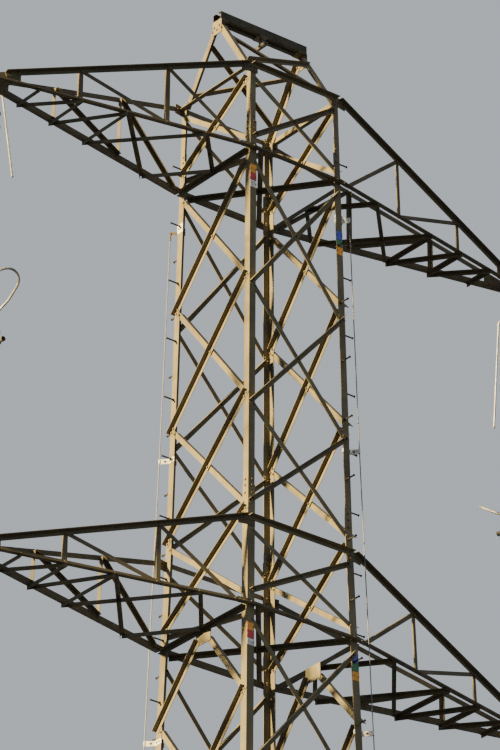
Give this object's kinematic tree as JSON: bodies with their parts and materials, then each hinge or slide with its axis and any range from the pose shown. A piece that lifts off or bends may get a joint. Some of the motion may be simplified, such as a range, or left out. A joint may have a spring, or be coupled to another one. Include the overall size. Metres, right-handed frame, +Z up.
{
  "type": "lattice transmission pylon",
  "caption": "Tall square lattice tower of steel angles that holds pairs of overhead conductors and an earth wire on cross-arms with hanging insulator strings.",
  "frame": {"origin": "on the ground, at the middle of the square base", "axes": "+X across the line, along the cross-arms; +Y along the line, away from the picture's viewpoint; +Z up"},
  "size_m": [8.47, 8.0754, 35.158],
  "materials": {
    "weathered_steel": "weathered galvanising, rust-stained",
    "fittings_steel": "dull galvanised",
    "climbing_cable": "stainless strand",
    "insulator_glaze": "brown glazed porcelain",
    "concrete": "cast concrete"
  },
  "bodies": {
    "root": {"leg_front_left": "weathered_steel", "footing_front_left": "concrete", "foot_bracing_front_left": "weathered_steel", "leg_back_left": "weathered_steel", "footing_back_left": "concrete", "foot_bracing_back_left": "weathered_steel", "leg_back_right": "weathered_steel", "footing_back_right": "concrete", "foot_bracing_back_right": "weathered_steel", "leg_front_right": "weathered_steel", "footing_front_right": "concrete", "foot_bracing_front_right": "weathered_steel", "body_bracing_left": "weathered_steel", "lower_bracing_left": "weathered_steel", "body_bracing_back": "weathered_steel", "lower_bracing_back": "weathered_steel", "body_bracing_right": "weathered_steel", "lower_bracing_right": "weathered_steel", "body_bracing_front": "weathered_steel", "lower_bracing_front": "weathered_steel", "waist_frame": "weathered_steel", "upper_arm_floor": "weathered_steel", "upper_arm_truss_front_left": "weathered_steel", "upper_arm_truss_back_left": "weathered_steel", "upper_arm_truss_back_right": "weathered_steel", "upper_arm_truss_front_right": "weathered_steel", "upper_insulator_left": "insulator_glaze", "upper_wire_clamps_left": "fittings_steel", "upper_insulator_right": "insulator_glaze", "upper_wire_clamps_right": "fittings_steel", "middle_arm_floor": "weathered_steel", "middle_arm_truss_front_left": "weathered_steel", "middle_arm_truss_back_left": "weathered_steel", "middle_arm_truss_back_right": "weathered_steel", "middle_arm_truss_front_right": "weathered_steel", "middle_insulator_left": "insulator_glaze", "middle_wire_clamps_left": "fittings_steel", "middle_insulator_right": "insulator_glaze", "middle_wire_clamps_right": "fittings_steel", "bottom_arm_floor": "weathered_steel", "bottom_arm_truss_front_left": "weathered_steel", "bottom_arm_truss_back_left": "weathered_steel", "bottom_arm_truss_back_right": "weathered_steel", "bottom_arm_truss_front_right": "weathered_steel", "bottom_insulator_left": "insulator_glaze", "bottom_wire_clamps_left": "fittings_steel", "bottom_insulator_right": "insulator_glaze", "bottom_wire_clamps_right": "fittings_steel", "peak_gable_left": "weathered_steel", "peak_gable_right": "weathered_steel", "peak_brace_front": "weathered_steel", "peak_brace_back": "weathered_steel", "ridge_beam": "weathered_steel", "earth_wire_clamp": "fittings_steel", "climbing_line_left": "climbing_cable", "climbing_line_right": "climbing_cable"}
  },
  "joints": []
}
